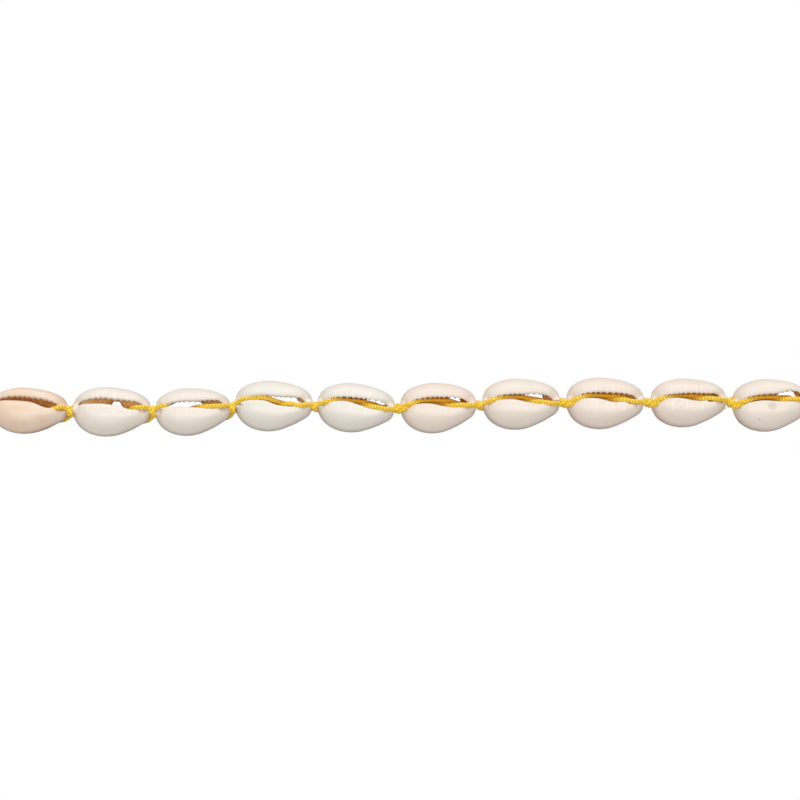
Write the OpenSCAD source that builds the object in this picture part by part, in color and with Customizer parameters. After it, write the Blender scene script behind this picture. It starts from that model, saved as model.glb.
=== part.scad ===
// Cowrie shell necklace: one closed string of cut-back money cowries, laid on a flat surface.
// Each shell lies on its ground-off back with its slot upwards. Two strands of braided cord run
// through every shell, one over and one under each tip, and are knotted between the shells.
// Millimetres. The origin is in the middle of the loop, on the surface that it lies on.

/* [Loop] */
// Number of shells in each of the two straight rows
row_n = 10; // [4:1:10]
// Number of shells in each of the two round ends
end_n = 8; // [6:1:8]
// Free length between the tips of two neighbouring shells, which the knot bridges
tip_gap = 1.2; // [1.2:0.1:3]

/* [Shell] */
// Length of a cowrie from its round end to its narrow end
shell_l = 19.4; // [17:0.1:26]
// Width of a cowrie across both lips
shell_w = 12.4; // [11.8:0.1:15]
// Height of the lips above the ground-off back
shell_h = 6.2; // [6:0.1:8]
// Height of the widest level of the flanks above the ground-off back
flank_h = 2; // [1.7:0.1:2.4]
// Thickness of the rolled lips beside the slot
lip_t = 1.7; // [1.3:0.1:1.8]
// Thickness of the wall where the back is ground off
rim_t = 1; // [0.6:0.1:1.5]
// Thickness of a tip between the strand over it and the strand under it
tip_t = 1.3; // [0.8:0.1:1.6]

/* [Cord] */
// Diameter of one strand of the braided cord
cord_d = 1; // [0.7:0.05:1.05]
// Free space between a strand and the shell where it runs over or under a tip
cord_clear = 0.15; // [0.1:0.01:0.2]
// Diameter of a strand where it is drawn up into a knot
knot_d = 1.25; // [1.1:0.05:1.4]
// Free space between the two strands in a knot
knot_clear = 0.3; // [0.2:0.01:0.4]
// Height of a knot's middle above the surface
knot_h = 3.4; // [3.3:0.1:3.8]

/* [Hidden] */
// Sections of a shell from its round end to its narrow end: place of the flank along, place of
// the slot's edge along (shares of the length), outer lip's flank, inner lip's flank, outer
// lip's edge, inner lip's edge (shares of the width, from the cord's line), height of the crown
// (share of the lips' height), height of the foot (share of the arch under a tip)
SECTIONS = [
    [0.030, 0.090, 0.210, -0.195, 0.040, -0.075, 0.57, 0.70],
    [0.100, 0.125, 0.335, -0.350, 0.070, -0.050, 0.77, 0],
    [0.220, 0.220, 0.425, -0.472, 0.118, 0.032, 0.92, 0],
    [0.380, 0.380, 0.477, -0.530, 0.146, 0.078, 1.00, 0],
    [0.550, 0.550, 0.468, -0.510, 0.147, 0.008, 1.00, 0],
    [0.720, 0.720, 0.425, -0.410, 0.162, -0.050, 0.95, 0],
    [0.860, 0.840, 0.350, -0.295, 0.130, -0.052, 0.82, 0],
    [0.960, 0.885, 0.230, -0.180, 0.080, -0.048, 0.62, 0.75],
];
// The two tips, with the same columns up to the lips' edges: flank and edge are one place there
ROUND_TIP = [0.000, 0.085, -0.028, -0.025];
NARROW_TIP = [1.000, 0.900, 0.020, 0.015];
// Height of the foot along the outer lip where a second strand passes under the round end:
// share of the length, share of the arch
WIDE_ARCH = [[0.030, 1.0], [0.100, 0.75], [0.220, 0]];
// Corners of a lip's section, from the flank (0) to the slot's edge (1) and in shares of the
// crown's height: shoulder, crown, lip's edge
LIP = [
    [0.20, 0.74],
    [0.62, 1.00],
    [1.00, 0.94],
];

// The shells in order, and again from the first: length and width as shares of the named
// sizes, angle by which the opening is turned inwards, 1 where no strand passes over the round
// end, place beside the cord's line, angle to the cord's line
SHELLS = [
    [1.000, 0.925, 17, 1, -0.51, 0.3],
    [1.010, 0.990, 9, 1, -0.21, -1.1],
    [0.985, 0.950, 4, 0, -0.53, -0.5],
    [1.010, 1.012, 2, 0, 0.49, -1.6],
    [1.010, 0.985, 0, 0, 0.24, -3.2],
    [0.985, 1.010, 1, 0, 0.11, -1.1],
    [1.010, 1.020, 0, 0, 0.31, -1.5],
    [1.010, 1.035, 0, 0, 0.16, -1.2],
    [0.985, 0.975, -2, 0, 0.29, 0.7],
    [1.000, 1.052, 0, 0, 0, 2.5],
];

// Place of the first row's knots, along the row and across it, from where even steps along a
// straight line would put them
WANDER = [
    [0, 0],
    [0, -0.95],
    [0, -1.1],
    [-0.7, -0.25],
    [-0.7, -0.25],
    [-0.75, -0.75],
    [-0.72, 0.1],
    [-0.45, 0.75],
    [0.08, 0.8],
    [0.1, 0.75],
    [0, 0.2],
];

STRAND_SIDES = 5;

shell_n = 2 * (row_n + end_n);
pitch = shell_l + tip_gap;
// Turn of the cord at each knot of a round end
turn = 180 / (end_n + 1);
// Half the distance between the two straight rows
loop_r = pitch / 2 / tan(turn / 2);

// Levels of a strand's middle: under a tip, over a tip, inside beneath the lips, on the lips
under_z = cord_d / 2 + cord_clear;
arch_h = cord_d + 2 * cord_clear + 0.4;
tip_top = arch_h + tip_t;
over_z = tip_top + cord_d / 2 + cord_clear;
inside_z = shell_h - lip_t - 0.95 * cord_d;
lip_z = shell_h - cord_d;
// Place of a strand beside the cord's line in a knot and under a tip, and of one that passes
// beside another under the round end
side_y = (knot_d + knot_clear) / 2;
low_y = side_y + cord_d + cord_clear;
// A strand's height and diameter between two tips, where it turns up into a knot
neck_z = knot_h - 1.1;
neck_d = 0.7 * cord_d;
// Height of a knot's middle where its strand stays low
low_knot_z = under_z + 0.5;

// Course of a strand through a shell, from one knot to the next: place along (0 to 1 from the
// round end to the narrow end, -1 at the knot and 2 at the next), place across, height, diameter
OVER_ROUND_END = [
    [-1, side_y, neck_z, neck_d],
    [-1, side_y, knot_h, knot_d],
    [0.030, 0, over_z, cord_d],
    [0.130, 0.28, lip_z - 0.45, cord_d],
    [0.220, 0.94, lip_z - 1.4, cord_d],
    [0.330, 1.35, inside_z - 0.2, cord_d],
    [0.520, 1.45, inside_z - 0.3, cord_d],
    [0.720, 0.45, under_z + 0.7, cord_d],
    [1.950, side_y - 0.1, under_z, cord_d],
];
OVER_NARROW_END = [
    [-1, -side_y, knot_h, knot_d],
    [-1, -side_y, neck_z, neck_d],
    [-0.950, -side_y, under_z, cord_d],
    [0.160, -side_y, under_z + 0.1, cord_d],
    [0.380, -0.2, inside_z - 1.15, cord_d],
    [0.560, 0.62, inside_z + 0.4, cord_d],
    [0.680, 0.15, lip_z, cord_d],
    [0.850, 0, lip_z - 0.3, cord_d],
    [0.970, -0.15, over_z, cord_d],
];
// The first of them where no strand passes over the round end
UNDER_BOTH_ENDS = [
    [-1, side_y + 0.3, low_knot_z, knot_d],
    [-0.850, low_y, under_z, cord_d],
    [0.160, low_y, under_z + 0.1, cord_d],
    [0.380, 1.4, under_z + 0.9, cord_d],
    [0.600, 1.1, under_z + 0.9, cord_d],
    [0.800, side_y, under_z + 0.3, cord_d],
    [1.950, side_y, under_z, cord_d],
];

function two_digits(k) = str(k < 10 ? "0" : "", k);

// Direction of the cord through shell i, counted from 0, and the knots between the shells
function heading(i) =
    i < row_n ? 0
    : i < row_n + end_n ? (i - row_n + 1) * turn
    : i < 2 * row_n + end_n ? 180
    : 180 + (i - 2 * row_n - end_n + 1) * turn;
function line_knot(i) =
    i == 0 ? [-row_n * pitch / 2, -loop_r]
    : line_knot(i - 1) + pitch * [cos(heading(i - 1)), sin(heading(i - 1))];
function wander(i) = i <= row_n && i < len(WANDER) ? WANDER[i] : [0, 0];
function knot_at(i) = line_knot(i % shell_n) + wander(i % shell_n);
function unit(v) = v / norm(v);
function course(i) = knot_at(i + 1) - knot_at(i);
function aim(i) = atan2(course(i)[1], course(i)[0]);
// Direction of the cord through knot i, half-way between those of its two shells
function knot_aim(i) =
    let (v = unit(course((i + shell_n - 1) % shell_n)) + unit(course(i % shell_n)))
    atan2(v[1], v[0]);

function kind(i) = SHELLS[i % len(SHELLS)];
function length_of(i) = kind(i)[0] * shell_l;
function width_of(i) = kind(i)[1] * shell_w;
function shell_aim(i) = aim(i) + kind(i)[5];

// From a shell's own place, with its narrow end at +X and its outer lip at +Y, to the loop.
// The opening's turn grows from none at the ground to the full angle at the lips.
function turned(p, angle) =
    let (a = angle * min(1, max(0, p[2] / shell_h)))
    [
        p[0],
        p[1] * cos(a) + (p[2] - flank_h) * sin(a) * min(1, p[2] / flank_h),
        p[2] + ((p[2] - flank_h) * (cos(a) - 1) - p[1] * sin(a)) * min(1, p[2] / flank_h)
    ];
function in_loop(i, p) =
    let (
        q = turned(p, kind(i)[2]),
        beside = kind(i)[4] * [-sin(aim(i)), cos(aim(i))],
        m = (knot_at(i) + knot_at(i + 1)) / 2 + beside,
        a = shell_aim(i)
    )
    [m[0] + q[0] * cos(a) - q[1] * sin(a), m[1] + q[0] * sin(a) + q[1] * cos(a), q[2]];

// Corners of the section between a flank and the slot's edge. The foot of the flank and the
// inside of the ground rim stand on the surface, or higher where a strand passes under.
function section(flank, edge, crown, foot) =
    let (
        span = norm(edge - flank),
        across = function(t) flank + t * (edge - flank)
    )
    [
        [each across(0.06), foot],
        [each flank, max(flank_h, foot + 0.3)],
        for (c = LIP) [each across(c[0]), max(c[1] * crown, foot + 0.5)],
        [each across(0.97), max(crown * LIP[2][1] - lip_t, foot + 0.2)],
        [each across(min(0.9, rim_t / span + 0.06)), foot]
    ];
function tip_section(tip, l, w) =
    let (
        flank = [(tip[0] - 0.5) * l, tip[2] * w],
        edge = [(tip[1] - 0.5) * l, tip[3] * w],
        across = function(t) flank + t * (edge - flank)
    )
    [
        [each across(0.12), arch_h],
        [each flank, arch_h + 0.3 * tip_t],
        [each across(0.04), arch_h + 0.7 * tip_t],
        [each across(0.30), tip_top],
        [each across(1), tip_top],
        [each across(1), arch_h + 0.3 * tip_t],
        [each across(0.80), arch_h]
    ];
function side_section(s, side, i) =
    let (
        l = length_of(i),
        w = width_of(i),
        raised = side == 1 && kind(i)[3] == 1 ? lookup(s[0], WIDE_ARCH) : 0
    )
    section(
        [(s[0] - 0.5) * l, (side == 1 ? s[2] : s[3]) * w],
        [(s[1] - 0.5) * l, (side == 1 ? s[4] : s[5]) * w],
        s[6] * shell_h,
        max(s[7], raised) * arch_h
    );

// Joins rings of corners into a closed ring, each to the next and the last to the first
module ring_of_rings(rings) {
    m = len(rings[0]);
    n = len(rings);
    at = function(k, a) (k % n) * m + a % m;
    polyhedron(
        points = [for (r = rings) each r],
        faces = [
            for (k = [0 : n - 1], a = [0 : m - 1])
                each [
                    [at(k, a), at(k + 1, a), at(k + 1, a + 1)],
                    [at(k, a), at(k + 1, a + 1), at(k, a + 1)],
                ]
        ]
    );
}

// A shell is a ring of sections round its slot and hollow: from the round tip along the outer
// lip to the narrow tip, and back along the inner lip
module shell(i) {
    last = len(SECTIONS) - 1;
    sections = concat(
        [tip_section(ROUND_TIP, length_of(i), width_of(i))],
        [for (k = [0 : last]) side_section(SECTIONS[k], 1, i)],
        [tip_section(NARROW_TIP, length_of(i), width_of(i))],
        [for (k = [last : -1 : 0]) side_section(SECTIONS[k], -1, i)]
    );
    color("ivory")
        ring_of_rings([for (s = sections) [for (p = s) in_loop(i, p)]]);
}

// A point of a strand's course through shell i, and the cord's direction there
function strand_aim(i, row) =
    row[0] < 0 ? knot_aim(i)
    : row[0] > 1 ? knot_aim(i + 1)
    : shell_aim(i);
function strand_point(i, row) =
    let (
        l = length_of(i),
        half_gap = (norm(course(i)) - l) / 2,
        knot = row[0] < 0 ? knot_at(i) : knot_at(i + 1),
        from_knot = row[0] < 0 ? row[0] + 1 : row[0] - 2,
        a = strand_aim(i, row)
    )
    row[0] >= 0 && row[0] <= 1 ? in_loop(i, [(row[0] - 0.5) * l, row[1], row[2]])
    : [
        knot[0] + from_knot * half_gap * cos(a) - row[1] * sin(a),
        knot[1] + from_knot * half_gap * sin(a) + row[1] * cos(a),
        row[2]
    ];

// One strand all the way round, as a closed tube with a ring of corners at each point
function rows_of(i, letter) =
    letter == "b" ? OVER_NARROW_END
    : kind(i)[3] == 1 ? UNDER_BOTH_ENDS
    : OVER_ROUND_END;
module strand(letter) {
    rows = [for (i = [0 : shell_n - 1]) for (row = rows_of(i, letter)) [i, row]];
    points = [for (r = rows) strand_point(r[0], r[1])];
    n = len(points);
    rings = [
        for (k = [0 : n - 1])
            let (
                a = strand_aim(rows[k][0], rows[k][1]),
                ahead = unit(points[(k + 1) % n] - points[(k + n - 1) % n]),
                up = unit(cross(ahead, [-sin(a), cos(a), 0])),
                side = cross(up, ahead),
                r = rows[k][1][3] / 2
            )
            [for (c = [0 : STRAND_SIDES - 1])
                let (t = c * 360 / STRAND_SIDES)
                points[k] + r * (cos(t) * side + sin(t) * up)]
    ];
    color("goldenrod")
        ring_of_rings(rings);
}

for (i = [0 : shell_n - 1])
    shell(i);
strand("a");  // strand_a
strand("b");  // strand_b
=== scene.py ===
# %% [markdown]
# # A cowrie shell necklace
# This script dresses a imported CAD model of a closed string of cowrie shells. Each shell is a
# small sea snail's shell whose back was ground off, so that cord can run through it. The string
# lies on a pale surface with the shells' toothed slots upwards. Shapes are worked out in
# millimetres in the CAD model's own frame (+Z up, one straight row along X at -Y, towards the
# camera) and turned into metres where a mesh is made.

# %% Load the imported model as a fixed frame
import math
from collections import namedtuple

import bpy
import numpy as np
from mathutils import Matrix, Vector


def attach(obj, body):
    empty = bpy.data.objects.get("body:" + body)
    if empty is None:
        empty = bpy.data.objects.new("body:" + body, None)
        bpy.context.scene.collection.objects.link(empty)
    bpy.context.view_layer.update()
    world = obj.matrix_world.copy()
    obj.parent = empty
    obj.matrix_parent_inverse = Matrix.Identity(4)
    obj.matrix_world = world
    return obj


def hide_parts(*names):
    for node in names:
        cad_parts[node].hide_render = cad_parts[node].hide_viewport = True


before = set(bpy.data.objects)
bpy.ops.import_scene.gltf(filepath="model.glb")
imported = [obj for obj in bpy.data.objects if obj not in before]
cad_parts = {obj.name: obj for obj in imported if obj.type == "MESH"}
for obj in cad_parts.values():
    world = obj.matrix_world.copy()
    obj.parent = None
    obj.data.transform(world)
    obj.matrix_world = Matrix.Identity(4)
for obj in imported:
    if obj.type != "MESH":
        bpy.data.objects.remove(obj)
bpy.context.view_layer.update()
MM = 0.001


# %% [markdown]
# ## The camera
# A long lens far away shows the row almost without perspective, as a flat-lay product picture
# does. The view is 200 mm wide, and the row lies just below its middle. The camera looks down
# almost straight and a little from the front, so the near flanks show slightly more.

# %% Place the camera
VIEW_WIDTH = 200 * MM
ELEVATION = math.radians(84)
LENS = 100.0
SENSOR = 36.0
ROW_Y = -58.4 * MM
ROW_BELOW_MIDDLE = 1.35 * MM
EYE_LEVEL = 3 * MM

camera_data = bpy.data.cameras.new("camera")
camera_data.lens = LENS
camera_data.sensor_width = SENSOR
camera_data.clip_start = 0.01
camera_data.clip_end = 20.0
camera = bpy.data.objects.new("camera", camera_data)
bpy.context.scene.collection.objects.link(camera)
bpy.context.scene.camera = camera
distance = VIEW_WIDTH / SENSOR * LENS
backwards = Vector((0, -math.cos(ELEVATION), math.sin(ELEVATION)))
target = Vector((0, ROW_Y + ROW_BELOW_MIDDLE, EYE_LEVEL))
camera.location = target + backwards * distance
camera.rotation_euler = backwards.to_track_quat("Z", "Y").to_euler()
print("camera at", [round(v, 3) for v in camera.location])

# %% [markdown]
# ## The loop
# A few named sizes, the same as in the CAD source, give each shell's place: two straight rows
# of ten, joined by two round ends of eight, with a knot between each two shells. The first
# row's knots wander from their even steps by up to about a millimetre, as on a string that was
# tied and laid by hand. Copies along a curve would stand evenly, so the places are summed up
# step by step, and any knot can be moved.

# %% Sizes of the loop, the shells and the cord, in millimetres
ROW_N = 10
END_N = 8
SHELL_N = 2 * (ROW_N + END_N)
SHELL_LENGTH = 19.4
SHELL_WIDTH = 12.4
SHELL_HEIGHT = 6.2
FLANK_HEIGHT = 2.0
LIP_T = 1.7
RIM_T = 1.0
TIP_T = 1.3
TIP_GAP = 1.2
CORD_D = 1.0
CORD_CLEAR = 0.15
PITCH = SHELL_LENGTH + TIP_GAP
TURN = 180 / (END_N + 1)
LOOP_R = PITCH / 2 / math.tan(math.radians(TURN / 2))
ARCH = CORD_D + 2 * CORD_CLEAR + 0.4
TIP_TOP = ARCH + TIP_T
print("half the distance between the rows:", round(LOOP_R, 1), "mm")

# %% Where each knot is
# how far each of the first row's knots is moved along the row and across it
WANDER = [
    [0, 0], [0, -0.95], [0, -1.1], [-0.7, -0.25], [-0.7, -0.25], [-0.75, -0.75],
    [-0.72, 0.1], [-0.45, 0.75], [0.08, 0.8], [0.1, 0.75], [0, 0.2],
]


def heading(i):
    """Direction in degrees of the straight line from knot i to the next one."""
    if i < ROW_N:
        return 0
    if i < ROW_N + END_N:
        return (i - ROW_N + 1) * TURN
    if i < 2 * ROW_N + END_N:
        return 180
    return 180 + (i - 2 * ROW_N - END_N + 1) * TURN


def unit(v):
    """Vectors of the same directions, one long."""
    return v / np.linalg.norm(v, axis=-1, keepdims=True)


knots = [np.array([-ROW_N * PITCH / 2, -LOOP_R])]
for i in range(SHELL_N - 1):
    a = math.radians(heading(i))
    knots.append(knots[-1] + PITCH * np.array([math.cos(a), math.sin(a)]))
for i, moved in enumerate(WANDER):
    knots[i] = knots[i] + np.array(moved)
knots = np.array(knots)
courses = np.roll(knots, -1, axis=0) - knots
loop_length = float(np.linalg.norm(courses, axis=1).sum())
print(SHELL_N, "shells in a loop of", round(loop_length, 1), "mm")

# %% [markdown]
# ## The shells' tables
# A cowrie seen from its slot has two rolled lips: the outer lip is the narrower one with strong
# teeth, and the inner lip is the belly. Each row of SECTIONS is a cut through both lips, with
# the same columns as in the CAD source. No two shells are alike, so PLACES says how each of the
# first row lies, and LOOKS says what is special on it. The rest of the loop repeats these ten.
# Sculpting would do for one shell, but rows can be read, compared and changed.

# %% The form of one shell
Section = namedtuple(
    "Section", "flank_at edge_at outer_flank inner_flank outer_edge inner_edge crown foot"
)
SECTIONS = [
    Section(0.030, 0.090, 0.210, -0.195, 0.040, -0.075, 0.60, 0.70),
    Section(0.100, 0.125, 0.335, -0.350, 0.070, -0.050, 0.77, 0),
    Section(0.220, 0.220, 0.425, -0.472, 0.118, 0.032, 0.92, 0),
    Section(0.380, 0.380, 0.477, -0.530, 0.146, 0.072, 1.00, 0),
    Section(0.550, 0.550, 0.468, -0.510, 0.147, 0.008, 1.00, 0),
    Section(0.720, 0.720, 0.425, -0.410, 0.162, -0.050, 0.95, 0),
    Section(0.860, 0.840, 0.350, -0.295, 0.130, -0.052, 0.82, 0),
    Section(0.960, 0.885, 0.230, -0.180, 0.080, -0.048, 0.64, 0.75),
]
Tip = namedtuple("Tip", "flank_at edge_at flank")
ROUND_TIP = Tip(0.000, 0.085, -0.028)
NARROW_TIP = Tip(1.000, 0.900, 0.020)
print(len(SECTIONS), "sections and two tips make a shell")

# %% How each shell lies
# length and width as shares, turn of the slot inwards and angle to the cord in degrees
Place = namedtuple("Place", "length width turn across angle")
PLACES = [
    Place(1.000, 0.925, 17, -0.51, 0.3),
    Place(1.010, 0.990, 9, -0.21, -1.1),
    Place(0.985, 0.950, 4, -0.53, -0.5),
    Place(1.010, 1.012, 2, 0.49, -1.6),
    Place(1.010, 0.985, 0, 0.24, -3.2),
    Place(0.985, 1.010, 1, 0.11, -1.1),
    Place(1.010, 1.020, 0, 0.31, -1.5),
    Place(1.010, 1.035, 0, 0.16, -1.2),
    Place(0.985, 0.975, -2, 0.29, 0.7),
    Place(1.000, 1.052, 0, 0.00, 2.5),
]


def place(i):
    """How shell i lies, counted from 0."""
    return PLACES[i % len(PLACES)]


print("turns of the slot:", [p.turn for p in PLACES])

# %% What is special on each shell
# how strands a and b run, the tint, the depth of the outer teeth, the part of the slot in which
# brown wall is left under the outer lip (from, to, how far it shows, how much less it shows
# half-way, how pale it is), how far along the wall closes the gaps between the teeth from
# below, how straight the inner lip is, and how strong the ribs are
Look = namedtuple(
    "Look",
    "strand_a strand_b tint tooth wall_from wall_to wall_shows wall_dip wall_pale ledge_to "
    "straight ribs",
)
LOOKS = [
    Look("low", "late", "tan", 0.34, 0.00, 0.90, 0.90, 0.25, 0.15, 0.00, 1.00, 0.3),
    Look("low", "late", "warm", 0.42, 0.00, 0.90, 1.00, 0.75, 0.80, 0.00, 1.00, 0.8),
    Look("dive", "aside", "warm", 0.38, 0.60, 0.88, 1.50, 0.00, 0.55, 0.00, 0.85, 0.6),
    Look("high", "rising", "cool", 0.34, 0.76, 0.97, 0.65, 0.00, 0.80, 0.50, 0.00, 0.5),
    Look("over", "rising", "cool", 0.60, 0.93, 0.97, 0.40, 0.00, 0.60, 0.66, 0.00, 1.0),
    Look("over", "paired", "pink", 0.60, 0.76, 0.97, 1.00, 0.00, 0.00, 0.67, 0.00, 0.4),
    Look("over", "rising", "cream", 0.50, 0.74, 0.97, 0.90, 0.00, 0.45, 0.58, 0.00, 0.4),
    Look("over", "paired", "pink", 0.60, 0.72, 0.90, 0.90, 0.00, 0.40, 0.80, 0.00, 0.9),
    Look("over", "paired", "pink", 0.60, 0.68, 0.86, 0.80, 0.00, 0.35, 0.80, 0.00, 1.0),
    Look("over", "paired", "cream", 0.42, 0.78, 0.97, 1.00, 0.00, 0.40, 0.62, 0.00, 0.3),
]
# colours of the crown, and of the painted shade low on the flank
TINTS_AND_SHADES = {
    "tan": [(0.80, 0.61, 0.46), (0.34, 0.11, 0.03)],
    "warm": [(0.80, 0.735, 0.655), (0.43, 0.30, 0.20)],
    "cool": [(0.79, 0.750, 0.680), (0.43, 0.34, 0.25)],
    "cream": [(0.80, 0.715, 0.630), (0.44, 0.30, 0.21)],
    "pink": [(0.81, 0.700, 0.615), (0.45, 0.30, 0.22)],
}


def look(i):
    """What is special on shell i."""
    return LOOKS[i % len(LOOKS)]


print("tints:", sorted(TINTS_AND_SHADES))

# %% Where each shell's slot edges differ from the sections
# moved inwards by so many mm at these shares of the length, for the outer and the inner lip
EDGE_SHARES = (0.10, 0.25, 0.40, 0.55, 0.70, 0.85)
LipEdges = namedtuple("LipEdges", "outer inner")
LIP_EDGES = [
    LipEdges((1.15, 0.55, 0.40, 0.20, -0.25, -0.35), (0.70, 0.45, 0.30, 0.10, -0.35, 0.35)),
    LipEdges((0.85, 0.50, 0.45, 0.20, -0.20, 0.15), (0.40, 0.30, 0.30, 0.00, -0.10, 0.50)),
    LipEdges((0.40, 0.00, 0.10, 0.00, -0.10, 0.35), (0.00, -0.10, -0.20, -0.25, 0.05, 0.65)),
    LipEdges((0.00, 0.10, 0.00, -0.20, -0.40, -0.10), (0.70, -0.05, -0.30, -0.50, -0.10, 0.45)),
    LipEdges((0.00, 0.10, 0.00, 0.00, -0.35, -0.20), (0.65, 0.20, 0.00, 0.10, 0.10, 0.45)),
    LipEdges((-0.10, 0.00, 0.00, 0.00, -0.25, -0.45), (0.60, -0.15, -0.45, -0.30, 0.00, 0.40)),
    LipEdges((0.00, -0.10, -0.10, -0.10, -0.20, -0.35), (0.60, -0.05, -0.30, -0.10, 0.15, 0.40)),
    LipEdges((0.00, 0.10, 0.05, 0.00, -0.30, -0.30), (0.55, 0.00, -0.35, -0.20, 0.20, 0.30)),
    LipEdges((0.00, 0.00, -0.10, 0.00, -0.40, 0.10), (0.80, 0.15, -0.20, 0.00, 0.45, 0.60)),
    LipEdges((-0.10, 0.00, 0.10, 0.25, 0.70, 0.80), (0.40, -0.35, -0.35, 0.25, 1.00, 1.20)),
]
print("largest move of an edge:", max(max(e.outer + e.inner) for e in LIP_EDGES), "mm")

# %% [markdown]
# ## Smooth curves through a few rows
# The tables have few rows, so a smooth curve through them gives the many rings of the mesh. The
# slope at each row is a mean of the slopes beside it, weighted by distance (Catmull-Rom), which
# neither overshoots much nor needs handles as a Bezier curve does.

# %% A smooth curve through table rows


def slopes_at(values, places, closed):
    """Slope of the smooth curve at each row."""
    if closed:
        period = places[-1] - places[0]
        v = np.concatenate([values[-2:-1], values, values[1:2]])
        p = np.concatenate([[places[-2] - period], places, [places[1] + period]])
    else:
        first, last = 2 * values[:1] - values[1:2], 2 * values[-1:] - values[-2:-1]
        v = np.concatenate([first, values, last])
        p = np.concatenate([[2 * places[0] - places[1]], places, [2 * places[-1] - places[-2]]])
    flat_axes = (1,) * (values.ndim - 1)
    before_gap = np.diff(p)[:-1].reshape(-1, *flat_axes)
    after_gap = np.diff(p)[1:].reshape(-1, *flat_axes)
    before = np.diff(v, axis=0)[:-1] / before_gap
    after = np.diff(v, axis=0)[1:] / after_gap
    return (before * after_gap + after * before_gap) / (before_gap + after_gap)


def curve_at(values, places, wanted, closed=False):
    """Points of the curve at the wanted places. A closed one repeats its first row at its end."""
    slopes = slopes_at(values, places, closed)
    k = np.clip(np.searchsorted(places, wanted, side="right") - 1, 0, len(places) - 2)
    flat_axes = (1,) * (values.ndim - 1)
    h = (places[k + 1] - places[k]).reshape(-1, *flat_axes)
    t = ((wanted - places[k]) / (places[k + 1] - places[k])).reshape(-1, *flat_axes)
    return (
        (2 * t**3 - 3 * t**2 + 1) * values[k]
        + (t**3 - 2 * t**2 + t) * h * slopes[k]
        + (3 * t**2 - 2 * t**3) * values[k + 1]
        + (t**3 - t**2) * h * slopes[k + 1]
    )


def ease(x, low, high):
    """0 below low, 1 above high, and smooth between."""
    t = np.clip((x - low) / (high - low), 0, 1)
    return t * t * (3 - 2 * t)


print("half-way between 0 and 1 the ease is", float(ease(0.5, 0, 1)))

# %% [markdown]
# ## One shell's surface
# The shell is one closed ring: a curved band that goes round the slot, from the round tip along
# the outer lip to the narrow tip and back along the inner lip. It could be carved from an egg
# with cutters, but a grid wrapped on a ring keeps the slot, the hollow and the ground rim in one
# clean mesh. Each station of the ring has a flank, a slot edge, a crown and a foot.

# %% The edges of a slot
# a straight inner lip's edge, in mm from the cord's line, and how far and where it bends away
STRAIGHT_EDGE = 0.62
STRAIGHT_BEND = 1.1
BEND_SHARES = (0.50, 0.85)


def edge_across(i, section, side):
    """Where the slot's edge is at one section of shell i, in mm from the shell's own line."""
    width, share = place(i).width * SHELL_WIDTH, section.edge_at
    edges = LIP_EDGES[i % len(LIP_EDGES)]
    if side > 0:
        return section.outer_edge * width + np.interp(share, EDGE_SHARES, edges.outer)
    own = section.inner_edge * width
    straight = STRAIGHT_EDGE - STRAIGHT_BEND * ease(share, *BEND_SHARES)
    own += look(i).straight * (straight - own)
    return own + np.interp(share, EDGE_SHARES, edges.inner)


gap = edge_across(0, SECTIONS[3], 1) - edge_across(0, SECTIONS[3], -1)
print("near its middle, shell 1's slot is", round(gap, 2), "mm wide")

# %% The stations round a shell
STATION_STEP = 0.25
FEWEST_STEPS = 3
TIP_CREST = 0.8
SIDE_ARCH_SHARE = 0.85


def key_rows(i):
    """Flank and edge (x, y), crown, foot, share of a tip, and side of each key station."""
    length, width = place(i).length * SHELL_LENGTH, place(i).width * SHELL_WIDTH
    rows = []
    order = [(ROUND_TIP, 0)] + [(s, 1) for s in SECTIONS] + [(NARROW_TIP, 0)]
    order += [(s, -1) for s in reversed(SECTIONS)]
    for s, side in order:
        flank_x, edge_x = (s.flank_at - 0.5) * length, (s.edge_at - 0.5) * length
        if side == 0:
            beside = SECTIONS[0 if s is ROUND_TIP else -1]
            edge_y = (edge_across(i, beside, 1) + edge_across(i, beside, -1)) / 2
            rows.append([flank_x, s.flank * width, edge_x, edge_y, TIP_TOP + TIP_CREST, ARCH, 1, 0])
            continue
        flank_y = (s.outer_flank if side > 0 else s.inner_flank) * width
        foot = s.foot
        if side < 0 and look(i).strand_a in ("low", "dive") and s.flank_at > SIDE_ARCH_SHARE:
            foot = 1.0
        rows.append([
            flank_x, flank_y, edge_x, edge_across(i, s, side), s.crown * SHELL_HEIGHT,
            foot * ARCH, 0, side,
        ])
    return np.array(rows + rows[:1], dtype=float)


def stations(i):
    """The same columns at every station of shell i, about STATION_STEP apart."""
    keys = key_rows(i)
    reach = np.maximum(
        np.linalg.norm(np.diff(keys[:, 0:2], axis=0), axis=1),
        np.linalg.norm(np.diff(keys[:, 2:4], axis=0), axis=1),
    )
    places = np.concatenate([[0], np.cumsum(np.sqrt(reach))])
    steps = [max(FEWEST_STEPS, round(mm / STATION_STEP)) for mm in reach]
    wanted = np.concatenate([
        np.linspace(start, end, n, endpoint=False)
        for start, end, n in zip(places[:-1], places[1:], steps)
    ])
    return curve_at(keys, places, wanted, closed=True)


print("a shell has", len(stations(0)), "stations")

# %% The section of a lip and of a tip
WALL_FULL = 0.35
WALL_HEIGHTS = (2.6, 2.0)
TIP_SECTION = np.array([
    [0.12, 0.00], [0.03, 0.10], [0.00, 0.30], [0.01, 0.50], [0.05, 0.78], [0.16, 0.95],
    [0.35, 1.00], [0.75, 1.00], [0.96, 0.92], [1.00, 0.70], [1.00, 0.45], [0.97, 0.25],
    [0.92, 0.10], [0.80, 0.00],
])
SECTION_POINTS = len(TIP_SECTION)


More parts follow.
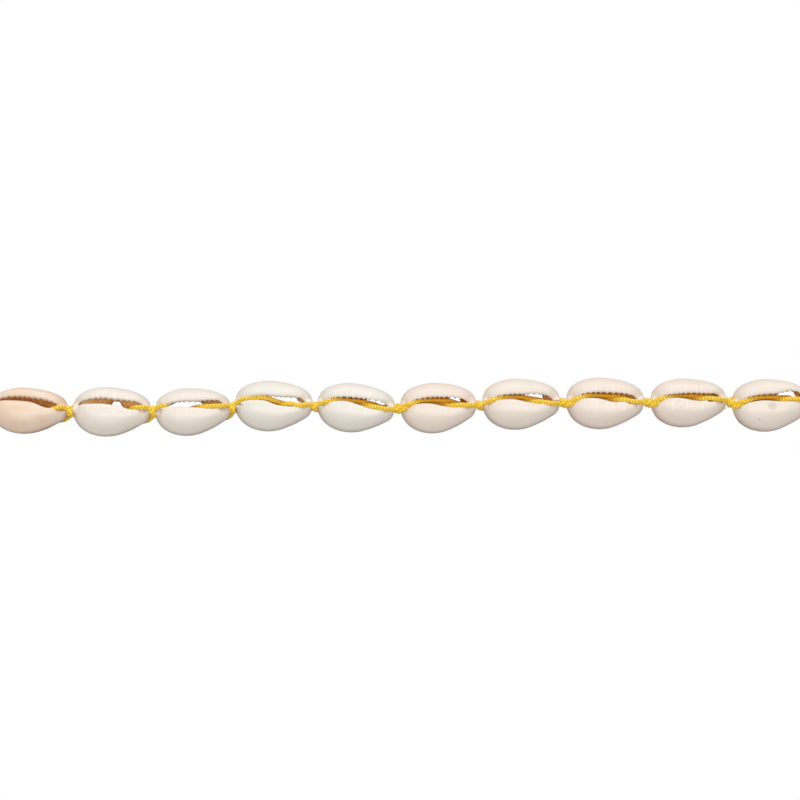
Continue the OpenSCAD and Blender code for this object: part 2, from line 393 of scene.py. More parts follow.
def lip_section(span, crown, foot, wall, ledge):
    """Each station's section: share across from flank (0) to edge (1), and height in mm."""
    flank = np.maximum(FLANK_HEIGHT, foot + 0.3)
    lip_edge = 0.94 * crown
    rim = RIM_T / span + 0.06
    far = wall / span
    deep = np.maximum(np.clip(wall / WALL_FULL, 0, 1), ledge)
    bare = 1 - deep
    points = [
        (0.06, foot),
        (0.018, foot + 0.42 * (flank - foot)),
        (0, flank),
        (0.035, flank + 0.45 * (0.74 * crown - flank)),
        (0.19, 0.755 * crown),
        (0.38, 0.905 * crown),
        (0.62, crown),
        (0.86, 0.995 * crown),
        (0.975, 0.960 * crown - 0.05),
        (1, lip_edge - 0.30 * LIP_T),
        (bare * 0.955 + deep, np.maximum(lip_edge - 0.8 * LIP_T, foot + 0.3)),
        (
            bare * 0.66 + deep * (1 + far),
            np.maximum(bare * (lip_edge - 1.3 * LIP_T) + deep * WALL_HEIGHTS[0], foot + 0.2),
        ),
        (
            bare * (rim + 0.05) + deep * (1 + 0.75 * far),
            np.maximum(bare * 0.42 * crown + deep * WALL_HEIGHTS[1], foot + 0.1),
        ),
        (rim, foot),
    ]
    pairs = [np.broadcast_arrays(across, height) for across, height in points]
    return np.array(pairs, dtype=float).transpose(2, 0, 1)


# rows are closest at the lip's edge, where the teeth are
ROWS = np.concatenate([
    np.linspace(0, 4, 7, endpoint=False), np.linspace(4, 7, 6, endpoint=False),
    np.linspace(7, 10.5, 10, endpoint=False), np.linspace(10.5, SECTION_POINTS - 1, 7),
])
ROWS_AROUND = len(ROWS)
print(SECTION_POINTS, "points give", ROWS_AROUND, "rows")

# %% [markdown]
# ## Teeth, ribs, notch and canal
# The outer lip's edge is scalloped: pointed teeth with rounded notches between them, about
# 1.4 mm apart. The inner lip has only a few small teeth and one notch near the narrow end.
# From the teeth, faint ribs fan out over the lips. Both tips have a shallow canal, in which the
# cord lies. Painted teeth would look flat from the side, so they move points of the grid, and
# each shell gets its own rhythm.

# %% Teeth along the slot's edges
TOOTH_PITCH = 1.33
TEETH_STAND_OUT = 0.25
SMALL_PITCH = 0.72
SMALL_DEPTH = 0.20
NOTCH_DEPTH = 0.50
NOTCH_HALF_SHARE = 0.03
# each shell's teeth start a little further on, as a share of their pitch
RHYTHM_SHIFT = 0.37


def window(x, rise, fall):
    """1 between two places and 0 outside them, with a smooth rise and fall."""
    return ease(x, *rise) * (1 - ease(x, *fall))


def edge_run_of(edge):
    """Distance in mm along the slot's edge at each station."""
    return np.concatenate([[0], np.cumsum(np.linalg.norm(np.diff(edge, axis=0), axis=1))])


def tooth_wave(i, run, shift=0.0):
    """Goes from 0 at a tooth to 1 between teeth."""
    pitch = TOOTH_PITCH + 0.1 * math.sin(2.1 * i)
    uneven = 0.12 * np.sin(0.9 * run + i)
    return np.abs(np.sin(np.pi * (run / pitch + RHYTHM_SHIFT * i + uneven + shift)))


def edge_draw_back(i, run, share, outer):
    """How far the edge draws back from the slot at each station, in mm."""
    where = window(share, (0.10, 0.20), (0.80, 0.88))
    strong = (look(i).tooth * tooth_wave(i, run) - TEETH_STAND_OUT) * where
    small = np.abs(np.sin(np.pi * (run / SMALL_PITCH + RHYTHM_SHIFT * i)))
    fine = SMALL_DEPTH * small * window(share, (0.60, 0.66), (0.79, 0.82))
    notch_at = 0.790 + 0.012 * math.sin(3 * i)
    notch = NOTCH_DEPTH * np.clip(1 - np.abs(share - notch_at) / NOTCH_HALF_SHARE, 0, 1)
    return np.where(outer, strong, fine + notch)


print("teeth are about", TOOTH_PITCH, "mm apart")

# %% The brown wall left under the outer lip
WALL_DIP = ((0.46, 0.52), (0.60, 0.66))
LEDGE_START = (0.16, 0.22)


def wall_depth(i, share, outer, tipness):
    """How far the inner wall reaches into the slot at each station, in mm."""
    special = look(i)
    start, end = special.wall_from, special.wall_to
    shows = special.wall_shows * window(share, (start, start + 0.08), (end, end + 0.04))
    shows *= 1 - special.wall_dip * window(share, *WALL_DIP)
    return shows * outer * (1 - tipness)


def ledge_under_teeth(i, share, outer, tipness):
    """1 where the inner wall stands right under the outer teeth and closes their gaps."""
    end = look(i).ledge_to
    return window(share, LEDGE_START, (end - 0.04, end)) * outer * (1 - tipness)


ledged = [i + 1 for i, special in enumerate(LOOKS) if special.ledge_to > 0]
print("shells with a ledge under their teeth:", ledged)

# %% Ribs over the lips
RIB_HEIGHT = 0.06
# on the outer and on the inner lip: how the ribs lean, and the row that the longest ones reach
RIB_LEAN = (0.05, -0.16)
RIB_REACH = (5.6, 6.1)


def rib_relief(i, run, share, outer):
    """Ribs on the grid, from 0 to 1: uneven, slanting, and gone before the crown ends."""
    slant = np.where(outer, *RIB_LEAN)[:, None] * (9 - ROWS)[None, :]
    wave = 1 - tooth_wave(i, run[:, None], slant) ** 2
    uneven = 0.68 + 0.32 * np.sin(1.7 * run + 5 * i)[:, None]
    reach = np.where(outer, *RIB_REACH)[:, None] - 1.4 * uneven
    along_rows = window(ROWS[None, :], (reach, reach + 1.8), (8.6, 9.4))
    where = window(share, (0.16, 0.26), (0.76, 0.86))
    return look(i).ribs * wave**3 * uneven * along_rows * where[:, None]


print("a rib stands", RIB_HEIGHT, "mm high")

# %% The canal at each tip
OVER_Z = TIP_TOP + CORD_D / 2 + CORD_CLEAR
CANAL_FLOOR = OVER_Z - CORD_D / 2 - 0.1
CANAL_ENDS = (1.6, 3.0)
CANAL_HALF = 0.62
CANAL_SIDES = 1.2
# under two strands side by side the canal is wider and lies further across
PAIRED_WIDER = 0.35
PAIRED_ACROSS = 0.25
TOP_ROWS = (2.5, 10.2)
OUT_OF_REACH = 20


def cut_canals(i, points):
    """Lowers shell i's tips where they are too high for the cord to lie over them."""
    x, y, z = points[..., 0], points[..., 1], points[..., 2]
    from_end = place(i).length * SHELL_LENGTH / 2 - np.abs(x)
    end = 1 - ease(from_end, *CANAL_ENDS)
    if look(i).strand_a == "low":
        end = np.where(x < 0, 0, end)
    paired = (look(i).strand_b == "paired") * (x < 0)
    off = np.abs(y + PAIRED_ACROSS * paired) / (CANAL_HALF + PAIRED_WIDER * paired)
    canal = CANAL_FLOOR + CANAL_SIDES * np.clip(off, 0, 2) ** 2.2
    on_top = ((ROWS > TOP_ROWS[0]) & (ROWS < TOP_ROWS[1]))[None, :]
    lowered = np.minimum(z, canal * end + OUT_OF_REACH * (1 - end))
    points[..., 2] = np.where(on_top, lowered, z)


print("the canals' floor is", round(CANAL_FLOOR, 2), "mm high")

# %% What the enamel is told at each point
INSIDE_ROWS = (8.9, 9.5)
# where no strand hides the round tip, the slot's line goes on over it as painted shade in the
# inner amber: half its width in mm, the shares of the length over which it fades, and its strength
SLOT_SHADE_HALF = 0.25
SLOT_SHADE_FADES = (0.09, 0.13)
SLOT_SHADE_SHOWS = 0.45


def enamel_masks(i, points, slot_y, ribs, ledge):
    """Where shell i's grid is inside, ribbed, in shade and pale, each from 0 to 1."""
    x, y = points[..., 0], points[..., 1]
    inside = np.broadcast_to(ease(ROWS, *INSIDE_ROWS), x.shape)
    # painted shade along the slot's narrow end over the round tip, in the inner amber
    if look(i).strand_a == "low":
        line = np.exp(-(((y - slot_y) / SLOT_SHADE_HALF) ** 2))
        on_tip = 1 - ease(x / (place(i).length * SHELL_LENGTH) + 0.5, *SLOT_SHADE_FADES)
        inside = np.maximum(inside, SLOT_SHADE_SHOWS * line * on_tip)
    pale = np.maximum(look(i).wall_pale, ledge)[:, None]
    return {
        "inside": inside,
        "rib": ribs,
        # painted shade, strongest on the inner lip's side, which faces away from the lights
        "shade": 0.35 + 0.65 * ease(-y / SHELL_WIDTH, 0.05, 0.40),
        "wall_pale": np.broadcast_to(pale, x.shape),
    }


print("rows from", INSIDE_ROWS[1], "on are inside the shell")

# %% Put one shell's grid together
# a foot lower than this stands on the ground
FLAT_FOOT = 0.08
TIP_BLEND = (0.25, 0.95)
EDGE_ROWS = ((7.6, 9.0), (10.3, 11.0))


def shell_points(i):
    """Grid of points (stations, rows, xyz) in mm in the shell's own frame, and its masks."""
    st = stations(i)
    flank, edge = st[:, 0:2], st[:, 2:4]
    crown, foot, tipness, side = st[:, 4:].T
    foot = np.where(foot < FLAT_FOOT, 0, foot)
    tipness = ease(np.clip(tipness, 0, 1), *TIP_BLEND)
    outer = side > 0
    share = edge[:, 0] / (place(i).length * SHELL_LENGTH) + 0.5
    run = edge_run_of(edge)
    ledge = ledge_under_teeth(i, share, outer, tipness)

    section = lip_section(
        np.linalg.norm(edge - flank, axis=1), crown, foot,
        wall_depth(i, share, outer, tipness), ledge,
    )
    tip = np.stack([
        np.broadcast_to(TIP_SECTION[:, 0], (len(st), SECTION_POINTS)),
        foot[:, None] + TIP_SECTION[None, :, 1] * (crown - foot)[:, None],
    ], axis=2)
    section += tipness[:, None, None] * (tip - section)
    steps = np.arange(float(SECTION_POINTS))
    fine = curve_at(section.transpose(1, 0, 2), steps, ROWS).transpose(1, 0, 2)
    across, up = fine[:, :, 0], np.maximum(fine[:, :, 1], 0)

    plan = flank[:, None, :] + across[:, :, None] * (edge - flank)[:, None, :]
    back = edge_draw_back(i, run, share, outer)[:, None] * window(ROWS, *EDGE_ROWS)[None, :]
    plan += back[:, :, None] * unit(flank - edge)[:, None, :]
    points = np.concatenate([plan, up[:, :, None]], axis=2)
    ribs = rib_relief(i, run, share, outer)
    points[:, :, 2] += RIB_HEIGHT * ribs
    cut_canals(i, points)
    return points, enamel_masks(i, points, edge[0, 1], ribs, ledge)


points, masks = shell_points(5)
print("one shell's grid:", points.shape, "with masks", sorted(masks))

# %% [markdown]
# ## From a shell's own frame to the loop
# Each shell is turned about its long axis a little, so that some slots face inwards, then
# placed between its two knots. The turn grows from nothing at the ground to the full angle at
# the lips, because the ground rim stays flat on the surface.

# %% Turn and place


def turned(points, angle):
    """Turns the slot inwards, more the higher a point lies."""
    z = points[..., 2]
    a = np.radians(angle) * np.clip(z / SHELL_HEIGHT, 0, 1)
    low = np.clip(z / FLANK_HEIGHT, 0, 1)
    above = z - FLANK_HEIGHT
    out = points.copy()
    out[..., 1] = points[..., 1] * np.cos(a) + above * np.sin(a) * low
    out[..., 2] = z + (above * (np.cos(a) - 1) - points[..., 1] * np.sin(a)) * low
    return out


def in_loop(i, points):
    """Places points of shell i in the loop, in mm."""
    points = turned(points, place(i).turn)
    a = math.atan2(courses[i][1], courses[i][0])
    middle = knots[i] + courses[i] / 2 + place(i).across * np.array([-math.sin(a), math.cos(a)])
    a += math.radians(place(i).angle)
    out = points.copy()
    out[..., 0] = middle[0] + points[..., 0] * math.cos(a) - points[..., 1] * math.sin(a)
    out[..., 1] = middle[1] + points[..., 0] * math.sin(a) + points[..., 1] * math.cos(a)
    return out


print("shell 1's middle is at", in_loop(0, np.zeros((1, 3)))[0].round(1), "mm")

# %% [markdown]
# ## Meshes from closed grids
# Shells, strands and knots are all grids that close on themselves, so one helper makes them
# all. It can join several grids in one mesh, stores the masks on the points for the shaders, and
# keeps chosen rows sharp, such as the rim where the grinding wheel cut the back away.

# %% Faces of a grid, and values stored on its points


def ring_faces(n, m, offset):
    """Quads of a grid of n by m points that closes both ways."""
    k, a = np.arange(n)[:, None], np.arange(m)[None, :]
    k2, a2 = (k + 1) % n, (a + 1) % m
    quads = np.stack([k * m + a, k2 * m + a, k2 * m + a2, k * m + a2], axis=2)
    return quads.reshape(-1, 4) + offset


def store(mesh, name, values, kind="FLOAT", field="value"):
    """Stores a value, or a colour, on each point."""
    layer = mesh.attributes.new(name, kind, "POINT")
    layer.data.foreach_set(field, np.ravel(values).astype(np.float32))


print("one shell's grid has", len(ring_faces(*points.shape[:2], 0)), "quads")

# %% Make a mesh from grids
# both edges of the flat foot, which the grinding wheel left sharp
SHELL_SHARP_ROWS = (0, ROWS_AROUND - 1)


def grid_mesh(name, grids, masks, sharp_rows=()):
    """An object from closed grids of one width, with a value on each point for each mask."""
    width = grids[0].shape[1]
    starts = np.cumsum([0] + [g.shape[0] * width for g in grids])
    faces = np.concatenate([
        ring_faces(g.shape[0], width, start) for g, start in zip(grids, starts)
    ])
    vertices = np.concatenate([g.reshape(-1, 3) for g in grids]) * MM
    mesh = bpy.data.meshes.new(name)
    mesh.from_pydata(vertices, [], faces, shade_flat=False)
    for mask, values in masks.items():
        store(mesh, mask, values)
    if sharp_rows:
        ends = np.zeros(len(mesh.edges) * 2, dtype=np.int32)
        mesh.edges.foreach_get("vertices", ends)
        rows = ends.reshape(-1, 2) % width
        hard = np.isin(rows[:, 0], sharp_rows) & (rows[:, 0] == rows[:, 1])
        layer = mesh.attributes.new("sharp_edge", "BOOLEAN", "EDGE")
        layer.data.foreach_set("value", hard)
    mesh.validate()
    piece = bpy.data.objects.new(name, mesh)
    bpy.context.scene.collection.objects.link(piece)
    return piece


print("rows kept sharp on a shell:", SHELL_SHARP_ROWS)

# %% Make all the shells
shells = []
for i in range(SHELL_N):
    points, masks = shell_points(i)
    grid = in_loop(i, points)[:, ::-1]
    piece = grid_mesh(
        f"cowrie_{i + 1:02d}", [grid], {name: mask[:, ::-1] for name, mask in masks.items()},
        sharp_rows=SHELL_SHARP_ROWS,
    )
    # the second colour is painted shade, darker and browner low on the flank
    for name, tint in zip(("crown_tint", "flank_painted_shade"), TINTS_AND_SHADES[look(i).tint]):
        colours = np.tile([*tint, 1.0], (len(piece.data.vertices), 1))
        store(piece.data, name, colours, "FLOAT_COLOR", "color")
    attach(piece, "root")
    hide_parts(f"shell_{i + 1:02d}")
    shells.append(piece)
print(len(shells), "shells,", 2 * sum(len(s.data.polygons) for s in shells), "triangles in all")

# %% [markdown]
# ## The two braided strands
# The cord is a golden knotting cord, plaited like a thin rope. Two strands run round the whole
# loop. In most shells strand a comes in over the round end and sinks into the slot under the
# teeth, while strand b comes up out of the slot and leaves over the narrow end. In a few shells
# strand a stays low and comes out beside the narrow end, and in others strand b lies beside it
# over the round end too. A curve could be bent by hand, but each course is a short table of
# stops instead, which can be compared with the picture and repeats round the loop.

# %% Heights of the strands
KNOT_D = 1.25
SIDE_Y = (KNOT_D + 0.3) / 2
LOW_Y = SIDE_Y + CORD_D + CORD_CLEAR
KNOT_Z = 3.3
UNDER_Z = CORD_D / 2 + CORD_CLEAR
INSIDE_Z = SHELL_HEIGHT - LIP_T - 0.95 * CORD_D
LIP_Z = SHELL_HEIGHT - CORD_D
print("under, inside, in the slot, over a tip:", UNDER_Z, INSIDE_Z, LIP_Z, OVER_Z)

# %% Where strand a shows
# across the cord's line in mm at these shares, for the ten shells of a row
A_SHARES = (0.03, 0.08, 0.14, 0.20, 0.26, 0.33, 0.42, 0.50, 0.58, 0.66, 0.74)
A_ACROSS = [
    (), (),
    (0.35, 0.60, 0.85, 1.25, 1.95),
    (0.90, 1.40, 1.75, 1.98, 2.10, 2.12, 1.85, 1.42, 0.95, 0.62, 0.48),
    (0.60, 0.85, 1.15, 1.50, 1.75, 1.75, 1.65, 1.55, 1.40, 1.15, 0.85),
    (0.40, 0.55, 0.80, 1.15, 1.50, 1.62, 1.60, 1.50, 1.45, 1.25, 0.75),
    (0.35, 0.70, 1.00, 1.35, 1.55, 1.62, 1.62, 1.58, 1.35, 1.05, 0.78),
    (0.20, 0.38, 0.75, 1.15, 1.55, 1.65, 1.62, 1.55, 1.50, 1.48, 1.25),
    (0.15, 0.38, 0.70, 1.10, 1.42, 1.58, 1.62, 1.58, 1.55, 1.50, 1.30),
    (-0.25, -0.12, 0.12, 0.55, 0.95, 1.25, 1.45, 1.48, 1.52, 1.58, 1.55),
]
A_HEIGHTS = {
    "low": (),
    "dive": (OVER_Z, OVER_Z + 0.5, LIP_Z - 0.7, LIP_Z - 1.2, INSIDE_Z - 0.5),
    "high": (
        OVER_Z, OVER_Z + 0.5, LIP_Z - 0.5, LIP_Z - 0.5, LIP_Z - 0.5, LIP_Z - 0.5, LIP_Z - 0.6,
        LIP_Z - 0.9, INSIDE_Z + 0.3, INSIDE_Z - 0.1, INSIDE_Z - 0.6,
    ),
    "over": (
        OVER_Z, OVER_Z + 0.5, LIP_Z - 0.5, LIP_Z - 0.8, INSIDE_Z + 0.5, INSIDE_Z + 0.2,
        INSIDE_Z, INSIDE_Z, INSIDE_Z - 0.1, INSIDE_Z - 0.2, INSIDE_Z - 0.6,
    ),
}
print("strand a's heights:", {name: len(z) for name, z in A_HEIGHTS.items()})

# %% Where strand b shows
B_SHARES = (0.34, 0.42, 0.50, 0.58, 0.66, 0.74, 0.82, 0.90, 0.97)
B_ACROSS = [
    (0.00, 0.00, -0.10, -0.30, -0.65, -0.62, -0.35, 0.22, 0.30),
    (0.00, 0.00, -0.10, -0.20, -0.25, -0.05, 0.36, 0.40, 0.45),
    (-0.20, -0.25, -0.10, 0.10, 0.05, 0.05, 0.05, 0.10, 0.30),
    (1.30, 1.30, 1.15, 0.75, 0.48, 0.42, 0.08, 0.25, 0.35),
    (1.35, 1.35, 1.20, 0.80, 0.30, 0.05, -0.20, -0.38, -0.30),
    (1.20, 1.12, 0.90, 0.40, -0.02, 0.00, 0.00, -0.12, -0.08),
    (1.45, 1.42, 1.18, 0.70, 0.30, 0.18, -0.10, -0.28, -0.28),
    (1.40, 1.32, 1.00, 0.62, 0.50, 0.45, 0.10, -0.05, -0.15),
    (1.45, 1.40, 1.12, 0.85, 0.80, 0.85, 0.72, 0.65, 0.45),
    (1.00, 1.08, 1.02, 0.98, 0.95, 1.12, 1.08, 1.00, 0.60),
]
B_HEIGHTS = {
    "late": (
        UNDER_Z + 0.3, UNDER_Z + 0.4, UNDER_Z + 0.6, UNDER_Z + 0.9, UNDER_Z + 1.4, INSIDE_Z,
        LIP_Z - 0.5, LIP_Z - 0.6, OVER_Z,
    ),
    "aside": (
        INSIDE_Z - 1.9, INSIDE_Z - 1.5, INSIDE_Z - 0.4, LIP_Z - 0.9, LIP_Z - 0.2, LIP_Z - 0.1,
        LIP_Z - 0.2, LIP_Z - 0.6, OVER_Z,
    ),
    "rising": (
        INSIDE_Z - 1.3, INSIDE_Z - 1.05, INSIDE_Z - 0.85, INSIDE_Z, LIP_Z - 0.5, LIP_Z - 0.05,
        LIP_Z - 0.1, LIP_Z - 0.5, OVER_Z,
    ),
}
B_HEIGHTS["paired"] = B_HEIGHTS["rising"]
print("strand b's heights:", {name: len(z) for name, z in B_HEIGHTS.items()})

# %% Where the strands are hidden
# place along (below 0 and above 1 between the shell and a knot), across, height
A_BESIDE = [
    (0.800, -2.20, UNDER_Z), (0.880, -2.70, UNDER_Z), (0.940, -2.50, UNDER_Z + 0.1),
    (0.985, -2.10, UNDER_Z + 0.3), (1.450, -1.55, UNDER_Z + 0.9), (1.900, -0.90, UNDER_Z + 1.4),
]
A_HIDDEN = {
    "low": [
        (-0.900, -0.30, UNDER_Z + 1.3), (-0.600, 0.60, UNDER_Z), (0.160, LOW_Y - 0.4, UNDER_Z),
        (0.450, 0.60, UNDER_Z + 0.4), *A_BESIDE,
    ],
    "dive": [
        (0.340, 2.60, UNDER_Z + 1.0), (0.500, 2.60, UNDER_Z + 0.3), (0.600, 2.20, UNDER_Z),
        (0.680, 1.00, UNDER_Z), (0.750, -0.80, UNDER_Z), *A_BESIDE,
    ],
    "high": [(0.820, 0.30, UNDER_Z + 1.0), (1.900, SIDE_Y, UNDER_Z + 0.3)],
    "over": [(0.820, 0.40, UNDER_Z + 1.0), (1.900, SIDE_Y, UNDER_Z + 0.3)],
}
B_UNDER = [
    (-1.00, -0.40, KNOT_Z - 0.4), (-0.450, -0.70, UNDER_Z + 1.2), (0.020, -0.65, UNDER_Z + 0.35),
    (0.160, -0.50, UNDER_Z + 0.1),
]
# "paired" shells have strand b beside strand a over the round end too: place, below a, height
B_TO_PAIR = [(-1.00, -0.40, KNOT_Z - 0.4), (-0.400, -0.70, 3.00)]
B_PAIRED = [
    (0.030, 0.88, 3.62), (0.080, 0.72, 4.00), (0.120, 0.60, 4.10), (0.170, 0.60, 3.50),
    (0.240, 0.75, 2.40),
]
print("strand a hides after:", {name: stops[0][0] for name, stops in A_HIDDEN.items()})

# %% The strands' stops in the loop


def stops_of(i, letter):
    """A strand's stops through shell i: place along, across the cord's line, height."""
    row, special = i % len(LOOKS), look(i)
    if letter == "b":
        before = B_UNDER
        if special.strand_b == "paired":
            before = B_TO_PAIR + [
                (share, np.interp(share, A_SHARES, A_ACROSS[row]) - below, z)
                for share, below, z in B_PAIRED
            ]
        return before + list(zip(B_SHARES, B_ACROSS[row], B_HEIGHTS[special.strand_b]))
    shown = list(zip(A_SHARES, A_ACROSS[row], A_HEIGHTS[special.strand_a]))
    hidden = A_HIDDEN[special.strand_a]
    if special.strand_a == "low":
        return hidden
    return [(-1.000, 0.30, KNOT_Z)] + shown + hidden


def stop_in_loop(i, stop):
    """A stop of a strand, in mm in the loop's frame."""
    share, across, z = stop
    length = place(i).length * SHELL_LENGTH
    gap = (np.linalg.norm(courses[i]) - length) / 2
    if 0 <= share <= 1:
        start, ahead, step = knots[i], unit(courses[i]), gap + share * length
    else:
        k = i if share < 0 else (i + 1) % SHELL_N
        start, ahead = knots[k], unit(unit(courses[k - 1]) + unit(courses[k]))
        step = (share + 1) * gap if share < 0 else (share - 2) * gap
    xy = start + step * ahead + across * np.array([-ahead[1], ahead[0]])
    return np.array([xy[0], xy[1], z])


print("strand a has", len(stops_of(4, "a")), "stops in shell 5")

# %% The strands' routes
ROUTE_STEP = 0.15
ROUTE_SAMPLES = 24000
# below 1, so that a long step between two stops doesn't bend the next one too far
STEP_POWER = 0.6


def route(letter):
    """A strand's whole route as points ROUTE_STEP apart, and its length."""
    stops = []
    for i in range(SHELL_N):
        stops += [stop_in_loop(i, stop) for stop in stops_of(i, letter)]
    stops = np.array(stops + stops[:1])
    reach = np.linalg.norm(np.diff(stops, axis=0), axis=1)
    places = np.concatenate([[0], np.cumsum(reach**STEP_POWER)])
    samples = np.linspace(0, places[-1], ROUTE_SAMPLES, endpoint=False)
    dense = curve_at(stops, places, samples, closed=True)
    step = np.linalg.norm(np.diff(np.concatenate([dense, dense[:1]]), axis=0), axis=1)
    run, total = np.concatenate([[0], np.cumsum(step)])[:-1], step.sum()
    wanted = np.linspace(0, total, int(total / ROUTE_STEP), endpoint=False)
    even = [np.interp(wanted, run, dense[:, axis], period=total) for axis in range(3)]
    return np.stack(even, axis=1), total


routes = {letter: route(letter) for letter in "ab"}
print("strand lengths in mm:", {letter: round(total) for letter, (_, total) in routes.items()})

# %% [markdown]
# ## Plaiting
# A round plait shows four columns of stitches that lean left and right in turn, like a row of
# arrowheads. Twisting four real strands would take a great many faces for a cord one millimetre
# thick. So a tube is swept along the route, and its surface swells where a stitch crosses over
# and sinks in the creases. The same swell is stored on the points for the cord's colour.

# %% Sweep a plaited tube along a closed path
AROUND = 12
STITCH = 0.75
STITCH_LEAN = 0.9
# the tube's radius as a share of the cord's: in a crease, and how much more on a stitch
CREASE_R = 0.82
SWELL_R = 0.30
# over so many points on each side the plait's turn is averaged
STEADY = 15


def frames_along(path):
    """Directions sideways and up at each point of a closed path, turning as little as can be."""
    ahead = unit(np.roll(path, -1, axis=0) - np.roll(path, 1, axis=0))
    side = np.zeros_like(path)
    side[0] = unit(np.cross([0.3, 0.2, 1.0], ahead[0]))
    for k in range(1, len(path)):
        v = side[k - 1] - ahead[k] * np.dot(side[k - 1], ahead[k])
        side[k] = v / np.linalg.norm(v)
    return ahead, side, np.cross(ahead, side)


def turn_towards(ahead, side, up, face):
    """Angle at each point that brings the top of the plait to face one way."""
    wanted = np.cross(face, ahead)
    angle = np.arctan2((wanted * up).sum(axis=1), (wanted * side).sum(axis=1))
    angle = np.unwrap(angle)
    padded = np.pad(angle, STEADY, mode="edge")
    return np.convolve(padded, np.ones(2 * STEADY + 1) / (2 * STEADY + 1), mode="valid")


def plaited(path, radius, face):
    """Grid of points round a closed path, and the swell of the plait from 0 to 1."""
    ahead, side, up = frames_along(path)
    towards = turn_towards(ahead, side, up, face)
    run = np.concatenate([[0], np.cumsum(np.linalg.norm(np.diff(path, axis=0), axis=1))])
    share = run / (run[-1] + np.linalg.norm(path[0] - path[-1]))
    phase = share * round(run[-1] / STITCH)
    angle = np.arange(AROUND) * 2 * np.pi / AROUND
    column = angle / (np.pi / 2)
    in_column = column - np.floor(column) - 0.5
    lean = np.where(np.floor(column) % 2 == 0, 1.0, -1.0)
    stitch_at = phase[:, None] + lean * in_column * STITCH_LEAN + np.where(lean > 0, 0, 0.5)
    stitch = np.abs(np.cos(np.pi * stitch_at)) ** 0.7
    swell = 0.75 * stitch + 0.25 * np.cos(np.pi * in_column)[None, :]
    r = (radius * (CREASE_R + SWELL_R * swell))[..., None]
    a = (angle[None, :] + towards[:, None])[..., None]
    grid = path[:, None, :] + r * (np.cos(a) * side[:, None, :] + np.sin(a) * up[:, None, :])
    return grid, swell


print("a stitch is", STITCH, "mm long, with", AROUND, "points round the cord")

# %% Make both strands
VISIBLE_D = 1.16
# a strand is deep below these heights, and near a knot within these distances, in mm
DEEP_Z = (3.3, 4.5)
NEAR_KNOT = (2.0, 3.2)


def depth_in_slot(path):
    """How much painted shade a strand gets: 1 where it lies deep in a slot, 0 where it is high or
    near a knot.
    """
    to_knot = np.linalg.norm(path[:, None, :2] - knots[None, :, :], axis=2).min(axis=1)
    return (1 - ease(path[:, 2], *DEEP_Z)) * ease(to_knot, *NEAR_KNOT)


strands = []
for letter, (path, total) in routes.items():
    grid, swell = plaited(path, VISIBLE_D / 2, (0, 0, 1))
    grid[..., 2] = np.maximum(grid[..., 2], 0.01)
    # painted shade on the yarn where it lies deep in a slot
    deep = np.repeat(depth_in_slot(path), AROUND)
    piece = grid_mesh(f"braided_strand_{letter}", [grid], {"swell": swell, "deep": deep})
    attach(piece, "root")
    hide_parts(f"strand_{letter}")
    strands.append(piece)
    print(piece.name, "is", round(total), "mm long,", 2 * len(piece.data.polygons), "triangles")

# %% [markdown]
# ## The knots
# Between two shells the strands are tied into one small hard knot, about 1.8 mm wide and 2.5 mm
# tall in the picture, with turns that slant, and here and there a loose loop or thread end. A
# real knot is one path through itself, which nobody could see at this size, so each is drawn as
# closed turns of the same cord round the strands, no two knots quite alike.

# %% The turns of a knot
# place of a turn's middle along and across, lean (mm along for each mm across), half-size
# across, half-size up, height of the middle
Turn = namedtuple("Turn", "along across lean half_across half_up height")
KNOT_TURNS = [
    Turn(-0.38, -0.10, -0.14, 0.74, 0.90, 2.95),
    Turn(0.38, -0.12, 0.18, 0.72, 0.90, 2.95),
    Turn(0.00, -0.18, -0.45, 0.84, 1.06, 3.00),
]
TURN_POINTS = 44
TURN_D = 0.80
WOBBLE = 0.06
# the first row's taller knots: how much taller, and how far they hang outwards in mm
TALL_KNOTS = {1: (1.30, 0.45), 2: (1.25, 0.40), 3: (1.25, 0.35)}

# small loose ends and loops that stick out of a knot: middle along and across, half its reach
# both ways, how round it is, height and thickness in mm
Loose = namedtuple("Loose", "knot along across reach_along reach_across round height d")
LOOSE = [
    Loose(5, 0.22, 0.80, 0.26, 0.00, 1.00, 4.10, 0.36),
    Loose(9, 0.48, 1.10, 0.10, 0.28, 0.60, 3.30, 0.42),
    Loose(9, -1.22, -1.20, 0.16, -0.48, 0.12, 2.60, 0.16),
]
print("a knot has", len(KNOT_TURNS), "turns,", len(LOOSE), "loose ends in a row")

# %% Tie the knots
turns, swells = [], []


def ring(middle, reach, rise):
    """A closed path round a middle, which reaches out one way and rises another."""
    t = np.linspace(0, 2 * np.pi, TURN_POINTS, endpoint=False)[:, None]
    return middle + np.cos(t) * reach + np.sin(t) * rise


def add_turn(path, d, face):
    """Sweeps one closed turn of cord and keeps it for the knots' mesh."""
    grid, swell = plaited(path, d / 2, face)
    turns.append(grid)
    swells.append(swell.reshape(-1))


